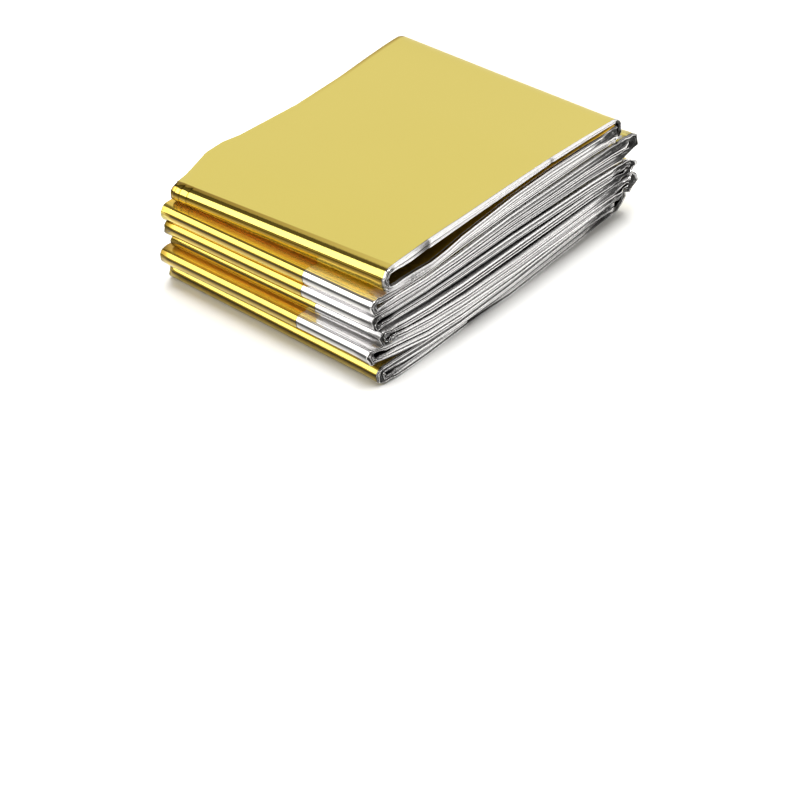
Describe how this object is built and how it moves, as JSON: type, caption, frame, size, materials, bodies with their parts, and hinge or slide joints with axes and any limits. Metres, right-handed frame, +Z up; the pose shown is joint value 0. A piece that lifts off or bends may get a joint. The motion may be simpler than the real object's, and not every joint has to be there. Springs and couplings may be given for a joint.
{
  "type": "emergency foil blanket",
  "caption": "Emergency foil blanket folded into a flat pack: thin gold and silver film, pleated into a strip and folded back and forth.",
  "frame": {"origin": "centre of the pack's outline on the surface it rests on", "axes": "+X along the folded layers, from the neat noses to the ragged tails; +Y from the silver pleat folds to the gold ones; +Z up"},
  "size_m": [0.1383, 0.0969, 0.0422],
  "materials": {
    "foil": "bright metallised polyester film, gold on one side and silver on the other, with sharp pleats and small creases"
  },
  "bodies": {
    "root": {"foil_blanket": "foil"}
  },
  "joints": []
}
